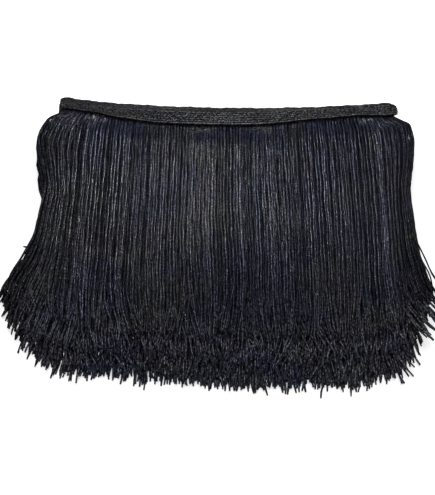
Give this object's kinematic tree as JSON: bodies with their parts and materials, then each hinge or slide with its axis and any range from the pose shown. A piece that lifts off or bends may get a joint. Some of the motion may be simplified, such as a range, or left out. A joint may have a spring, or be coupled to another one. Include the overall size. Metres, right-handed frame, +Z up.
{
  "type": "folded tassel fringe trim",
  "caption": "Folded length of tassel fringe trim: a knitted heading tape in stacked runs with rows of twisted cords laid out below it.",
  "frame": {"origin": "on the surface, under the middle of the lowest run of the heading tape", "axes": "+X along the trim, +Y from the cord tips towards the heading, +Z up from the surface"},
  "size_m": [0.2452, 0.1838, 0.0224],
  "materials": {
    "heading": "dull charcoal knit",
    "fringe": "soft blue-black rayon cord"
  },
  "bodies": {
    "root": {"heading": "heading", "fringe_1": "fringe", "fringe_2": "fringe", "fringe_3": "fringe", "fringe_4": "fringe", "fringe_5": "fringe", "fringe_6": "fringe"}
  },
  "joints": []
}
